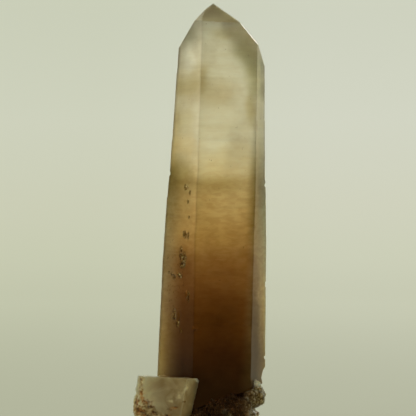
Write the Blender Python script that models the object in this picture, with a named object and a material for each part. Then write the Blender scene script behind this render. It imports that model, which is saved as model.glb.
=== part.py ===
"""Smoky quartz point with its foot.

A tapered six-sided quartz crystal leans a little to the right and ends in a lopsided tip. A stub of a
second crystal has grown against the left of its foot, and both are rooted in a crust of small quartz
crystals that is cut off flat underneath. Metres, +Z up, the front towards -Y, and the origin in the
middle of the flat cut.
"""

import math
import random

import bmesh
import bpy
from mathutils import Matrix, Vector, noise

MM = 0.001

# Every quartz crystal: the tip faces stand at 51.8 degrees, and the sides are 60 degrees apart.
TIP_SLOPE = math.radians(51.8)
SIDE_STEP = math.radians(60)
GAP = 0.3 * MM  # between solids that touch

# The main point. Its six sides are taken in turn from the front one towards the right: front, right,
# back right, back, back left, left.
POINT_AXIS = (0.2 * MM, 0.0, 0.0)  # where the axis crosses the underside
POINT_LEAN = math.radians(1.6)  # to the right
POINT_TURN = math.radians(8.3)  # of the front side, to the right
# Height up the axis, and the distance of each side from the axis there.
POINT_SECTIONS = (
    (0.0 * MM, [side * MM for side in (9.5, 10.5, 8.4, 9.6, 9.9, 8.9)]),
    (38.1 * MM, [side * MM for side in (8.2, 9.9, 7.8, 8.1, 9.1, 8.5)]),
    (49.5 * MM, [side * MM for side in (7.8, 9.8, 7.0, 7.6, 8.4, 8.2)]),
    (51.0 * MM, [side * MM for side in (7.8, 9.8, 6.4, 7.5, 8.2, 8.1)]),
    (75.9 * MM, [side * MM for side in (6.9, 9.1, 5.8, 6.5, 7.0, 7.5)]),
    (94.2 * MM, [side * MM for side in (6.3, 8.6, 5.4, 5.7, 6.3, 7.1)]),
)
# Height at which the tip face over each side would cross the axis, if nothing cut it short.
POINT_TIP = [height * MM for height in (90.1, 89.0, 80.8, 81.1, 85.4, 91.2)]
# Growth ledges across each side: the height of a riser, the treads between them counted in risers, and
# the share of the taper that the ledges take.
LEDGE_RISE = 0.3 * MM
LEDGE_TREADS = (16, 46)
LEDGE_SHARE = 0.2
LEDGE_TOP = 74.0 * MM
# The break under the point: its height at the axis, and its slope up to the right.
BREAK_HEIGHT = 6.3 * MM
BREAK_SLOPE = math.radians(20)

# Chips out of the right-hand edge, between the right and back right sides: height, depth and length.
EDGE_CHIPS = (
    (49.6 * MM, 0.35 * MM, 1.6 * MM),
    (29.7 * MM, 0.30 * MM, 1.4 * MM),
    (11.3 * MM, 1.50 * MM, 7.4 * MM),
)
# Etch pits in the left side: distance from the front edge, height, width and length.
LEFT_PITS = (
    (2.9 * MM, 48.9 * MM, 0.7 * MM, 1.1 * MM),
    (3.1 * MM, 39.4 * MM, 0.8 * MM, 1.9 * MM),
    (3.5 * MM, 34.6 * MM, 1.0 * MM, 2.6 * MM),
    (4.6 * MM, 31.3 * MM, 0.7 * MM, 1.0 * MM),
    (2.6 * MM, 27.6 * MM, 0.8 * MM, 1.6 * MM),
    (4.9 * MM, 23.2 * MM, 0.9 * MM, 2.8 * MM),
    (7.3 * MM, 31.6 * MM, 0.6 * MM, 0.9 * MM),
)
PIT_DEPTH = 0.35 * MM

# The broken crystal beside the foot: its sides in the same order, the top being a fracture.
SIDE_AXIS = (-9.8 * MM, -7.0 * MM, 0.0)
SIDE_LEAN = math.radians(10.5)
SIDE_TURN = math.radians(-6)
SIDE_WALLS = [side * MM for side in (5.7, 6.5, 9.0, 9.0, 3.3, 6.7)]
SIDE_FOOT = 1.6 * MM
SIDE_TOP = 11.6 * MM  # at the axis
SIDE_TOP_FALL = math.radians(3)  # down to the right
SCOOP_RADIUS = 16.0 * MM  # the hollow of the fracture
SCOOP_DEPTH = 0.5 * MM
CORNER_CHIP = Vector((-1.1 * MM, -10.1 * MM, 11.6 * MM))
CORNER_CHIP_RADIUS = 1.15 * MM
# The rough hollows in the lower left of its front and in its left edge: centre and radii.
SIDE_HOLLOWS = (
    ((-15.5 * MM, -14.9 * MM, 1.8 * MM), (10.5 * MM, 3.4 * MM, 8.5 * MM)),
    ((-16.7 * MM, -9.0 * MM, 3.0 * MM), (2.6 * MM, 5.0 * MM, 3.8 * MM)),
)

# The crust: a drum under the break and lumps on its sides, some of which rise round the point.
DRUM_AXIS = (-0.6 * MM, 0.2 * MM)
DRUM_RADIUS = 9.6 * MM
DRUM_SEGMENTS = 28
DRUM_RINGS = 5
# Centre and radii of each lump.
CRUST_LUMPS = (
    ((8.4 * MM, -4.4 * MM, 7.7 * MM), (2.6 * MM, 4.4 * MM, 2.3 * MM)),
    ((9.6 * MM, -5.4 * MM, 9.2 * MM), (1.2 * MM, 2.2 * MM, 1.6 * MM)),
    ((6.9 * MM, -4.4 * MM, 1.4 * MM), (3.7 * MM, 5.2 * MM, 3.4 * MM)),
    ((3.4 * MM, -8.3 * MM, 5.2 * MM), (5.4 * MM, 2.3 * MM, 2.9 * MM)),
    ((1.0 * MM, -8.6 * MM, 1.2 * MM), (5.2 * MM, 2.6 * MM, 3.6 * MM)),
    ((-2.6 * MM, -9.2 * MM, 3.0 * MM), (3.2 * MM, 2.4 * MM, 2.9 * MM)),
    ((-9.2 * MM, -7.6 * MM, 0.2 * MM), (7.5 * MM, 6.7 * MM, 3.2 * MM)),
    ((-8.6 * MM, 2.6 * MM, 1.2 * MM), (3.4 * MM, 4.8 * MM, 3.0 * MM)),
    ((-4.6 * MM, 8.0 * MM, 2.0 * MM), (4.6 * MM, 2.9 * MM, 3.4 * MM)),
    ((2.2 * MM, 8.8 * MM, 4.2 * MM), (4.8 * MM, 2.5 * MM, 4.2 * MM)),
    ((6.4 * MM, 5.6 * MM, 5.6 * MM), (2.9 * MM, 4.4 * MM, 4.4 * MM)),
)
CRUST_ROUGHNESS = 0.45 * MM
CRUST_GRAIN = 2.4 * MM  # size of the bumps
# The small crystals on the crust: their widths, how far they stand out for their width, and the least
# distance between neighbours, from the crystals and from the cut underneath.
GRAIN_TRIES = 3600
GRAIN_WIDTH = (0.9 * MM, 1.9 * MM)
GRAIN_STAND = (-0.16, 0.12)
GRAIN_SPACING = 0.72  # of the wider one's width
GRAIN_CLEARANCE = 0.7 * MM
BASE_REACH = 40.0 * MM  # half the size of cutting blocks

SEED = 11


def new_material(name, colour, roughness, transmission=0.0):
    material = bpy.data.materials.new(name)
    material.use_nodes = True
    shader = material.node_tree.nodes["Principled BSDF"]
    shader.inputs["Base Color"].default_value = (*colour, 1.0)
    shader.inputs["Roughness"].default_value = roughness
    shader.inputs["Metallic"].default_value = 0.0
    shader.inputs["IOR"].default_value = 1.544
    shader.inputs["Transmission Weight"].default_value = transmission
    return material


def new_collection(name):
    collection = bpy.data.collections.new(name)
    bpy.context.scene.collection.children.link(collection)
    return collection


def new_object(name, bm, collection, material=None):
    """Turns the bmesh into an object, which is a cutter if it has no material."""
    bmesh.ops.recalc_face_normals(bm, faces=bm.faces)
    mesh = bpy.data.meshes.new(name)
    bm.to_mesh(mesh)
    bm.free()
    obj = bpy.data.objects.new(name, mesh)
    collection.objects.link(obj)
    if material:
        mesh.materials.append(material)
    else:
        obj.hide_render = True
        obj.display_type = "WIRE"
    return obj


def add_boolean(obj, operation, other):
    modifier = obj.modifiers.new(f"{operation.lower()} {other.name}", "BOOLEAN")
    modifier.operation = operation
    modifier.object = other
    modifier.use_self = True  # several cutters are made of shapes that overlap


def side_normal(index, turn):
    angle = turn + index * SIDE_STEP
    return Vector((math.sin(angle), -math.cos(angle)))


def section_corners(distances, turn):
    """Where the neighbouring sides of a six-sided section meet, from their distances to the axis."""
    corners = []
    for index, distance in enumerate(distances):
        normal = side_normal(index, turn)
        along = Vector((-normal.y, normal.x))
        after = (distances[(index + 1) % 6] - distance * math.cos(SIDE_STEP)) / math.sin(SIDE_STEP)
        corners.append(normal * distance + along * after)
    return corners


def loft(sections, turn):
    """A closed body through six-sided sections, each given as a height and six distances."""
    bm = bmesh.new()
    rings = [
        [bm.verts.new((*corner, height)) for corner in section_corners(distances, turn)]
        for height, distances in sections
    ]
    for lower, upper in zip(rings, rings[1:]):
        for index in range(6):
            after = (index + 1) % 6
            bm.faces.new((lower[index], lower[after], upper[after], upper[index]))
    bm.faces.new(rings[0])
    bm.faces.new(rings[-1])
    return bm


def cut_away(bm, point, normal):
    """Removes what lies beyond the plane on the side of its normal, and closes the cut."""
    geometry = bm.verts[:] + bm.edges[:] + bm.faces[:]
    cut = bmesh.ops.bisect_plane(
        bm, geom=geometry, dist=1e-7, plane_co=point, plane_no=normal, clear_outer=True
    )["geom_cut"]
    edges = [item for item in cut if isinstance(item, bmesh.types.BMEdge)]
    if edges:
        bmesh.ops.contextual_create(bm, geom=edges)


def at_height(knots, height):
    """The value at a height, between the knots (height, value)."""
    for (low, below), (high, above) in zip(knots, knots[1:]):
        if height <= high:
            return below + (above - below) * (height - low) / (high - low)
    return knots[-1][1]


def taper(index):
    """Knots of one side's distance from the axis, without its ledges."""
    return [(height, sides[index]) for height, sides in POINT_SECTIONS]


def ledges(index):
    """Knots of one side with its ledges: it runs nearly parallel to the axis between them."""
    draw = random.Random(SEED + index)
    plain = taper(index)
    knots = [plain[0]]
    low = draw.randint(*LEDGE_TREADS)
    while low * LEDGE_RISE < LEDGE_TOP:
        high = low + draw.randint(*LEDGE_TREADS)
        level = at_height(plain, (low + high) / 2 * LEDGE_RISE)
        for height in ((low + 1) * LEDGE_RISE, high * LEDGE_RISE):
            knots.append((height, level * LEDGE_SHARE + at_height(plain, height) * (1 - LEDGE_SHARE)))
        low = high
    return knots + [((low + 2) * LEDGE_RISE, at_height(plain, (low + 2) * LEDGE_RISE)), plain[-1]]


def point_sections():
    """The point's sections, one wherever a ledge begins or ends on any side."""
    sides = [ledges(index) for index in range(6)]
    risers = {round(height / LEDGE_RISE) for knots in sides for height, _ in knots}
    heights = [riser * LEDGE_RISE for riser in sorted(risers)]
    return [(height, [at_height(knots, height) for knots in sides]) for height in heights]


def lean_matrix(axis, lean):
    return Matrix.Translation(axis) @ Matrix.Rotation(lean, 4, "Y")


def point_body(grow=0.0, broken=True):
    """The main point, with all its faces moved out by grow. Unbroken, it goes down to the underside."""
    sections = [(height, [side + grow for side in sides]) for height, sides in point_sections()]
    bm = loft(sections, POINT_TURN)
    for index, height in enumerate(POINT_TIP):
        flat = side_normal(index, POINT_TURN)
        normal = Vector((*(flat * math.sin(TIP_SLOPE)), math.cos(TIP_SLOPE)))
        cut_away(bm, Vector((0, 0, height)) + normal * grow, normal)
    if broken:
        down = Vector((math.sin(BREAK_SLOPE), 0, -math.cos(BREAK_SLOPE)))
        cut_away(bm, Vector((0, 0, BREAK_HEIGHT)) + down * grow, down)
    bm.transform(lean_matrix(POINT_AXIS, POINT_LEAN))
    return bm


def on_point_corner(index, height):
    """The place on the point's edge after side index, and the direction outwards there."""
    distances = [at_height(taper(side), height) for side in range(6)]
    corner = section_corners(distances, POINT_TURN)[index]
    place = lean_matrix(POINT_AXIS, POINT_LEAN) @ Vector((*corner, height))
    return place, corner.normalized().to_3d()


def chips_and_pits():
    """One cutter with a flattened nick for each edge chip and a lens for each etch pit."""
    bm = bmesh.new()
    for height, depth, length in EDGE_CHIPS:
        place, outward = on_point_corner(1, height)
        radius = length / 2
        shape = (
            Matrix.Translation(place + outward * (radius - depth))
            @ outward.to_track_quat("Z", "Y").to_matrix().to_4x4()
            @ Matrix.Diagonal((radius * 1.5, radius, radius, 1))
        )
        bmesh.ops.create_icosphere(bm, subdivisions=1, radius=1, matrix=shape)
    normal = side_normal(5, POINT_TURN).to_3d()
    backwards = Vector((normal.y, -normal.x, 0))
    for along, height, width, length in LEFT_PITS:
        front_corner, _ = on_point_corner(5, height)
        shape = (
            Matrix.Translation(front_corner + backwards * along)
            @ normal.to_track_quat("Z", "Y").to_matrix().to_4x4()
            @ Matrix.Diagonal((width / 2, length / 2, PIT_DEPTH, 1))
        )
        bmesh.ops.create_icosphere(bm, subdivisions=1, radius=1, matrix=shape)
    return bm


def side_body(grow=0.0):
    """The broken crystal beside the foot, before it is fitted round the main point."""
    walls = [side + grow for side in SIDE_WALLS]
    tall = SIDE_TOP + BASE_REACH
    bm = loft([(SIDE_FOOT - grow - BASE_REACH, walls), (tall, walls)], SIDE_TURN)
    bm.transform(lean_matrix(SIDE_AXIS, SIDE_LEAN))
    middle = Vector((SIDE_AXIS[0] + SIDE_TOP * math.tan(SIDE_LEAN), SIDE_AXIS[1], SIDE_TOP + grow))
    cut_away(bm, middle, Vector((math.sin(SIDE_TOP_FALL), 0, math.cos(SIDE_TOP_FALL))))
    cut_away(bm, Vector((0, 0, SIDE_FOOT - grow)), Vector((0, 0, -1)))
    return bm


def side_breaks():
    """The hollow of its fractured top, the chip at the corner and the rough hollow in its front."""
    bm = bmesh.new()
    top = Vector((SIDE_AXIS[0] + SIDE_TOP * math.tan(SIDE_LEAN), SIDE_AXIS[1], SIDE_TOP))
    scoop = Matrix.Translation(top + Vector((0, 0, SCOOP_RADIUS - SCOOP_DEPTH)))
    bmesh.ops.create_icosphere(bm, subdivisions=4, radius=SCOOP_RADIUS, matrix=scoop)
    chip = Matrix.Translation(CORNER_CHIP)
    bmesh.ops.create_icosphere(bm, subdivisions=1, radius=CORNER_CHIP_RADIUS, matrix=chip)
    for centre, radii in SIDE_HOLLOWS:
        add_lump(bm, centre, radii, subdivisions=4)
    return bm


def roughen(verts, centre):
    """Moves the points in or out from a centre, as lumpy rock."""
    for vert in verts:
        outward = (vert.co - Vector(centre)).normalized()
        vert.co += outward * noise.noise(vert.co / CRUST_GRAIN) * CRUST_ROUGHNESS * 2


def add_lump(bm, centre, radii, subdivisions=2):
    """A rough ellipsoid."""
    shape = Matrix.Translation(centre) @ Matrix.Diagonal((*radii, 1))
    made = bmesh.ops.create_icosphere(bm, subdivisions=subdivisions, radius=1, matrix=shape)
    roughen(made["verts"], centre)


def crust_drum():
    """The rough drum that fills the room under the break."""
    bm = bmesh.new()
    tall = BREAK_HEIGHT * 4
    stand = Matrix.Translation((*DRUM_AXIS, 0))
    bmesh.ops.create_cone(
        bm, cap_ends=True, segments=DRUM_SEGMENTS, radius1=DRUM_RADIUS, radius2=DRUM_RADIUS,
        depth=tall, matrix=stand,
    )
    upright = [edge for edge in bm.edges if abs(edge.verts[0].co.z - edge.verts[1].co.z) > 1e-6]
    bmesh.ops.subdivide_edges(bm, edges=upright, cuts=DRUM_RINGS * 2)
    roughen(bm.verts, (*DRUM_AXIS, 0))
    up = Vector((-math.sin(BREAK_SLOPE), 0, math.cos(BREAK_SLOPE)))
    cut_away(bm, Vector((0, 0, BREAK_HEIGHT)), up)
    return bm


def crust_lumps():
    bm = bmesh.new()
    for centre, radii in CRUST_LUMPS:
        add_lump(bm, centre, radii)
    return bm


def add_grain(bm, place, direction, width, stand):
    """A small quartz crystal rooted at the place: a six-sided prism with a pyramid for a tip."""
    root = Matrix.Translation(place) @ direction.to_track_quat("Z", "Y").to_matrix().to_4x4()
    made = bmesh.ops.create_cone(
        bm, cap_ends=True, segments=6, radius1=width / 2, radius2=width / 2, depth=width,
        matrix=root @ Matrix.Translation((0, 0, stand - width / 2)),
    )
    cap = max({face for vert in made["verts"] for face in vert.link_faces},
              key=lambda face: (face.calc_center_median() - place).dot(direction))
    apex = bmesh.ops.poke(bm, faces=[cap])["verts"][0]
    apex.co += direction * width / 2 * math.tan(TIP_SLOPE) * math.cos(math.radians(30))


def inside(place, bodies, clearance):
    """Whether the place is within the clearance of one of the convex bodies."""
    for body in bodies:
        if all((place - face.verts[0].co).dot(face.normal) < clearance for face in body.faces):
            return True
    return False


def crust_grains(crust):
    """Small crystals side by side on the open surface of the crust."""
    draw = random.Random(SEED)
    crystals = [point_body(), side_body()]
    surface = bmesh.new()
    surface.from_object(crust, bpy.context.evaluated_depsgraph_get())
    bmesh.ops.triangulate(surface, faces=surface.faces)
    for body in crystals + [surface]:
        bmesh.ops.recalc_face_normals(body, faces=body.faces)
    faces = surface.faces[:]
    areas = [face.calc_area() for face in faces]
    bm = bmesh.new()
    rooted = []
    for face in draw.choices(faces, weights=areas, k=GRAIN_TRIES):
        a, b = sorted((draw.random(), draw.random()))
        first, second, third = (vert.co for vert in face.verts)
        place = first * a + second * (b - a) + third * (1 - b)
        width = draw.triangular(*GRAIN_WIDTH, GRAIN_WIDTH[0])
        lean = Vector([draw.uniform(-0.35, 0.35) for _ in range(3)])
        stand = draw.uniform(*GRAIN_STAND) * width
        if place.z < width or inside(place, crystals, GRAIN_CLEARANCE):
            continue
        if any((place - other).length < max(width, wide) * GRAIN_SPACING for other, wide in rooted):
            continue
        rooted.append((place, width))
        add_grain(bm, place, (face.normal + lean).normalized(), width, stand)
    for body in crystals + [surface]:
        body.free()
    return bm


def drop_crumbs(obj, collection):
    """Replaces the object by a mesh of its largest body, without the crumbs that the cuts leave."""
    bm = bmesh.new()
    bm.from_object(obj, bpy.context.evaluated_depsgraph_get())
    bodies = []
    left = set(bm.verts)
    while left:
        body, edge_of_body = set(), [left.pop()]
        while edge_of_body:
            vert = edge_of_body.pop()
            body.add(vert)
            near = {edge.other_vert(vert) for edge in vert.link_edges} & left
            left -= near
            edge_of_body.extend(near)
        bodies.append(body)
    largest = max(bodies, key=len)
    bmesh.ops.delete(bm, geom=[vert for vert in bm.verts if vert not in largest], context="VERTS")
    name, material = obj.name, obj.data.materials[0]
    bpy.data.objects.remove(obj)
    return new_object(name, bm, collection, material)


def block_below():
    """A block whose top is the level that the foot is cut off at."""
    bm = bmesh.new()
    size = 2 * BASE_REACH
    bmesh.ops.create_cube(bm, size=size, matrix=Matrix.Translation((0, 0, -BASE_REACH)))
    return bm


def main():
    for obj in list(bpy.data.objects):
        bpy.data.objects.remove(obj)
    parts = new_collection("smoky_quartz_point")
    cutters = new_collection("cutters")

    smoky = new_material("smoky_quartz", (0.36, 0.25, 0.11), 0.1, transmission=1.0)
    milky = new_material("milky_quartz", (0.55, 0.48, 0.34), 0.25, transmission=0.5)
    drusy = new_material("iron_stained_druse", (0.11, 0.07, 0.04), 0.45)

    point = new_object("smoky_point", point_body(), parts, smoky)
    add_boolean(point, "DIFFERENCE", new_object("point_chips", chips_and_pits(), cutters))

    side = new_object("side_crystal", side_body(), parts, milky)
    add_boolean(side, "DIFFERENCE", new_object("side_breaks", side_breaks(), cutters))
    add_boolean(side, "DIFFERENCE", new_object("stem_room", point_body(GAP, broken=False), cutters))

    point_room = new_object("point_room", point_body(GAP), cutters)
    side_room = new_object("side_room", side_body(GAP), cutters)
    add_boolean(side_room, "DIFFERENCE", new_object("stem", point_body(broken=False), cutters))

    crust = new_object("drusy_foot", crust_drum(), parts, drusy)
    add_boolean(crust, "UNION", new_object("crust_lumps", crust_lumps(), cutters))
    add_boolean(crust, "UNION", new_object("crust_grains", crust_grains(crust), cutters))
    add_boolean(crust, "DIFFERENCE", point_room)
    add_boolean(crust, "DIFFERENCE", side_room)
    add_boolean(crust, "DIFFERENCE", new_object("block_below", block_below(), cutters))
    drop_crumbs(crust, parts)


main()
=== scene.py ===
import math
import bmesh
import bpy
import numpy as np
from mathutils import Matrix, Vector, noise


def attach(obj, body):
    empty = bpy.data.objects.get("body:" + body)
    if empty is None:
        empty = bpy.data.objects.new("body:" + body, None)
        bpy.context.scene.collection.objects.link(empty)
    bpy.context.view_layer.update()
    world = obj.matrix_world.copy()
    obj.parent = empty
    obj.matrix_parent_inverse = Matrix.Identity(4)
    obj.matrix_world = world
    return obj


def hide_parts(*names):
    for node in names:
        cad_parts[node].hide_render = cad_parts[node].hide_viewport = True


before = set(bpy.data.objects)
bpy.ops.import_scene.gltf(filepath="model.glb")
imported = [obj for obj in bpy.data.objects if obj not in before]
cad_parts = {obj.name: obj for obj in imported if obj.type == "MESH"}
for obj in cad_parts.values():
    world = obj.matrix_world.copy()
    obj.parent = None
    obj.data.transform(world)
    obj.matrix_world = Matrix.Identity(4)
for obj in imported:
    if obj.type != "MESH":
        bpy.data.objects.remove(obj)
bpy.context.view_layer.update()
mm = 0.001
quartzIor = 1.544
crystalAngle = math.radians(20)  # faces that turn more than this have a crystal edge between them
creaseAngle = math.radians(25)  # and the shading breaks between faces that turn more than this
weldReach = 0.002 * mm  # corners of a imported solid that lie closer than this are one
print("frame loaded:", ", ".join(sorted(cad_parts)))


def linear(hexColour):  # sRGB hex to the linear colour that the shaders take
    channels = [int(hexColour[place:place + 2], 16) / 255 for place in (1, 3, 5)]
    return tuple(c / 12.92 if c <= 0.04045 else ((c + 0.055) / 1.055) ** 2.4 for c in channels) + (1.0,)


def only(*objects):  # selects these objects and nothing else, the first of them active
    bpy.ops.object.select_all(action="DESELECT")
    for chosen in objects:
        chosen.select_set(True)
    bpy.context.view_layer.objects.active = objects[0]


def newMaterial(name):
    material = bpy.data.materials.new(name)
    material.use_nodes = True
    material.node_tree.nodes.clear()
    return material


def addNode(tree, kind, settings=None, inputs=None):  # one node with its settings, values and links
    node = tree.nodes.new(kind)
    for name, value in (settings or {}).items():
        if name == "stops":
            ramp = node.color_ramp.elements
            while len(ramp) < len(value):
                ramp.new(1.0)
            for element, (position, hexColour) in zip(ramp, value):
                element.position = position
                element.color = linear(hexColour)
        else:
            setattr(node, name, value)
    for name, value in (inputs or {}).items():
        socket = node.inputs[name] if isinstance(name, int) else next(
            shown for shown in node.inputs if shown.enabled and shown.name == name)
        if isinstance(value, bpy.types.Node):  # a node given as a value is read at its first output
            value = next(shown for shown in value.outputs if shown.enabled)
        if isinstance(value, bpy.types.NodeSocket):
            tree.links.new(value, socket)
        else:
            socket.default_value = value
    return node


def ends(side, pair):  # a pair of values as the From or the To end of a Map Range
    return {side + " Min": pair[0], side + " Max": pair[1]}


# settings that many nodes share
eased = {"interpolation_type": "SMOOTHSTEP"}
mixColours = {"data_type": "RGBA"}
tintColours = {"data_type": "RGBA", "blend_type": "MULTIPLY"}
multiply = {"operation": "MULTIPLY"}
add = {"operation": "ADD"}
larger = {"operation": "MAXIMUM"}


stageValues = {
    "floorRadius": 800 * mm,  # flat pale floor, then a quarter round up to the wall
    "roundRadius": 500 * mm,
    "wallTop": 1400 * mm,
    "floorCorners": 96,
    "roundSteps": 12,
    "paper": "#6c6d64",
    # what the paper gives out, from the crystal's foot to the wall
    "glow": [(0.0, "#a3a591"), (0.35, "#adaf9c"), (0.64, "#b5b7a4"), (0.70, "#bcbeab"), (0.75, "#c1c2b1"),
             (0.81, "#c5c7b9"), (0.87, "#c2c5b6"), (0.93, "#c7cab6")],
    "glowReach": 1350 * mm,
    "leftTint": "#f9faf5",  # what the left half of it loses
    "leftFrom": (60 * mm, -60 * mm),
    "frontGlow": 0.2,  # share of it on the camera's side, and where that side ends
    "front": (-500 * mm, 50 * mm),
    "highGlow": 2.6,  # the wall shines stronger between these heights, as a soft box would
    "high": (180 * mm, 700 * mm),
    "dark": (-130, -100, -58, -46),  # degrees left of the back: the wall goes dark and comes back
    "darkGlow": 0.12,
    "wallShares": (0.6, 1.2),  # the dark begins and is full at these shares of the floor's radius
    # beside the crystal the floor falls off and is warmer, out of the camera's sight
    "sideTint": "#bca878",
    "side": (95 * mm, 200 * mm),
    "sideShares": (1.0, 0.8),
    "skyColour": "#dfe0d4",
    "skyStrength": 0.2,
    # name, watts, size, place, and the height aimed at: a weak soft key from the front left and above, and a
    # rim light from behind on the right for the bright line on the tip's edge
    "lamps": [("key light", 1.6, 500 * mm, (-0.55, -0.60, 0.75), 40 * mm),
              ("rim light", 0.9, 150 * mm, (0.42, 0.68, 0.45), 60 * mm)],
}


def makeBackdrop(values):  # a round sweep: flat floor, quarter round and wall in one sheet
    bpy.ops.object.select_all(action="DESELECT")
    bpy.ops.mesh.primitive_circle_add(vertices=values["floorCorners"], radius=values["floorRadius"],
                                      fill_type="TRIFAN")
    backdrop = bpy.context.object
    backdrop.name = "backdrop"
    bpy.ops.object.mode_set(mode="EDIT")
    bpy.ops.mesh.select_all(action="SELECT")
    bpy.ops.mesh.region_to_loop()
    radius, height = values["floorRadius"], 0.0
    profile = []
    for step in range(1, values["roundSteps"] + 1):
        angle = math.radians(90) * step / values["roundSteps"]
        profile.append((values["floorRadius"] + values["roundRadius"] * math.sin(angle),
                        values["roundRadius"] * (1 - math.cos(angle))))
    profile.append((values["floorRadius"] + values["roundRadius"], values["wallTop"]))
    for newRadius, newHeight in profile:
        bpy.ops.mesh.extrude_region_move(TRANSFORM_OT_translate={"value": (0, 0, newHeight - height)})
        bpy.ops.transform.resize(value=(newRadius / radius, newRadius / radius, 1))
        radius, height = newRadius, newHeight
    bpy.ops.object.mode_set(mode="OBJECT")
    bpy.ops.object.shade_smooth()
    return backdrop


def paperGlow(tree, axes, outwards, values):  # colour by distance, tinted on the left and warmer at the sides
    reach = addNode(tree, "ShaderNodeMapRange", {}, {"Value": outwards, "From Max": values["glowReach"]})
    glow = addNode(tree, "ShaderNodeValToRGB", {"stops": values["glow"]}, {"Fac": reach})
    leftwards = addNode(tree, "ShaderNodeMapRange", {}, {
        "Value": axes.outputs["X"], **ends("From", values["leftFrom"])})
    tinted = addNode(tree, "ShaderNodeMix", tintColours, {
        "Factor": leftwards, "A": glow, "B": linear(values["leftTint"])})
    across = addNode(tree, "ShaderNodeMath", {"operation": "ABSOLUTE"}, {0: axes.outputs["X"]})
    sideways = addNode(tree, "ShaderNodeMapRange", eased, {
        "Value": across, **ends("From", values["side"])})
    onFloor = addNode(tree, "ShaderNodeMapRange", {}, {
        "Value": outwards, **ends("From", [share * values["floorRadius"] for share in values["sideShares"]])})
    offSide = addNode(tree, "ShaderNodeMath", multiply, {0: sideways, 1: onFloor})
    return addNode(tree, "ShaderNodeMix", tintColours, {
        "Factor": offSide, "A": tinted, "B": linear(values["sideTint"])})


def paperStrength(tree, axes, outwards, values):  # weak in front, strong high up, nearly dark along one side
    behind = addNode(tree, "ShaderNodeMapRange", eased, {
        "Value": axes.outputs["Y"], **ends("From", values["front"]),
        **ends("To", (values["frontGlow"], 1.0))})
    high = addNode(tree, "ShaderNodeMapRange", eased, {
        "Value": axes.outputs["Z"], **ends("From", values["high"]), **ends("To", (1.0, values["highGlow"]))})
    turn = addNode(tree, "ShaderNodeMath", {"operation": "ARCTAN2"}, {
        0: axes.outputs["X"], 1: axes.outputs["Y"]})
    brightBefore, darkFrom, darkTo, brightAfter = [math.radians(angle) for angle in values["dark"]]
    before, after = [addNode(tree, "ShaderNodeMapRange", eased, {
        "Value": turn, **ends("From", angles), **ends("To", (values["darkGlow"], 1.0))})
                     for angles in ((darkFrom, brightBefore), (darkTo, brightAfter))]
    left = addNode(tree, "ShaderNodeMath", larger, {0: before, 1: after})
    wall = addNode(tree, "ShaderNodeMapRange", eased, {
        "Value": outwards, **ends("From", [share * values["floorRadius"] for share in values["wallShares"]])})
    side = addNode(tree, "ShaderNodeMix", {}, {"Factor": wall, "A": 1.0, "B": left})
    raised = addNode(tree, "ShaderNodeMath", multiply, {0: behind, 1: high})
    return addNode(tree, "ShaderNodeMath", multiply, {0: raised, 1: side})


def mattPaper(values):  # matt background paper whose glow is painted light, standing in for paper lit from behind: even, with no shine
    material = newMaterial("matt background paper")
    tree = material.node_tree
    place = addNode(tree, "ShaderNodeTexCoord").outputs["Object"]
    axes = addNode(tree, "ShaderNodeSeparateXYZ", {}, {"Vector": place})
    outwards = addNode(tree, "ShaderNodeVectorMath", {"operation": "LENGTH"}, {0: place})
    glow = paperGlow(tree, axes, outwards, values)
    strength = paperStrength(tree, axes, outwards, values)
    surface = addNode(tree, "ShaderNodeBsdfPrincipled", {}, {
        "Base Color": linear(values["paper"]), "Roughness": 1.0, "Specular IOR Level": 0.0,
        "Emission Color": glow, "Emission Strength": strength})
    addNode(tree, "ShaderNodeOutputMaterial", {}, {"Surface": surface})
    return material


cameraValues = {
    "distance": 600 * mm,
    "height": 44.8 * mm,
    "halfFrame": 41.6 * mm,  # half of what the frame takes in at the crystal's axis
    "nearest": 10 * mm,
    "farthest": 20000 * mm,
}


def makeCamera(values):
    bpy.ops.object.camera_add(location=(0, -values["distance"], values["height"]),
                              rotation=(math.radians(90), 0, 0))
    camera = bpy.context.object
    camera.name = "camera"
    camera.data.angle = 2 * math.atan(values["halfFrame"] / values["distance"])
    camera.data.clip_start = values["nearest"]
    camera.data.clip_end = values["farthest"]
    bpy.context.scene.camera = camera


def makeLights(values):
    sky = bpy.data.worlds.new("sky")
    bpy.context.scene.world = sky
    sky.use_nodes = True
    background = sky.node_tree.nodes["Background"]
    background.inputs["Color"].default_value = linear(values["skyColour"])
    background.inputs["Strength"].default_value = values["skyStrength"]
    for name, watts, size, place, aimHeight in values["lamps"]:
        aim = (Vector((0, 0, aimHeight)) - Vector(place)).to_track_quat("-Z", "Y").to_euler()
        bpy.ops.object.light_add(type="AREA", location=place, rotation=aim)
        lamp = bpy.context.object
        lamp.name = name
        lamp.data.energy = watts
        lamp.data.size = size


makeCamera(cameraValues)
makeLights(stageValues)
backdrop = makeBackdrop(stageValues)
backdrop.data.materials.append(mattPaper(stageValues))
bpy.context.scene.view_settings.view_transform = "Standard"
print("stage ready")


def copyOfNode(nodeName, pieceName):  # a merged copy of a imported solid, to be finished as a visible piece
    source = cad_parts[nodeName]
    piece = bpy.data.objects.new(pieceName, source.data.copy())
    bpy.context.collection.objects.link(piece)
    only(piece)
    bpy.ops.object.mode_set(mode="EDIT")
    bpy.ops.mesh.select_all(action="SELECT")
    bpy.ops.mesh.remove_doubles(threshold=weldReach)
    bpy.ops.object.mode_set(mode="OBJECT")
    bpy.ops.mesh.customdata_custom_splitnormals_clear()
    piece.data.materials.clear()
    return piece


def crystalEdges(piece, leastLength, leastRise=0.0):  # both ends of each long edge that rises enough
    shape = bmesh.new()
    shape.from_mesh(piece.data)
    found = []
    for edge in shape.edges:
        first, last = [corner.co.copy() for corner in edge.verts]
        rise = abs(first.z - last.z)
        if edge.calc_length() > leastLength and rise > leastRise * edge.calc_length():
            if edge.calc_face_angle(0) > crystalAngle:
                found.append((first, last))
    shape.free()
    return found


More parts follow.
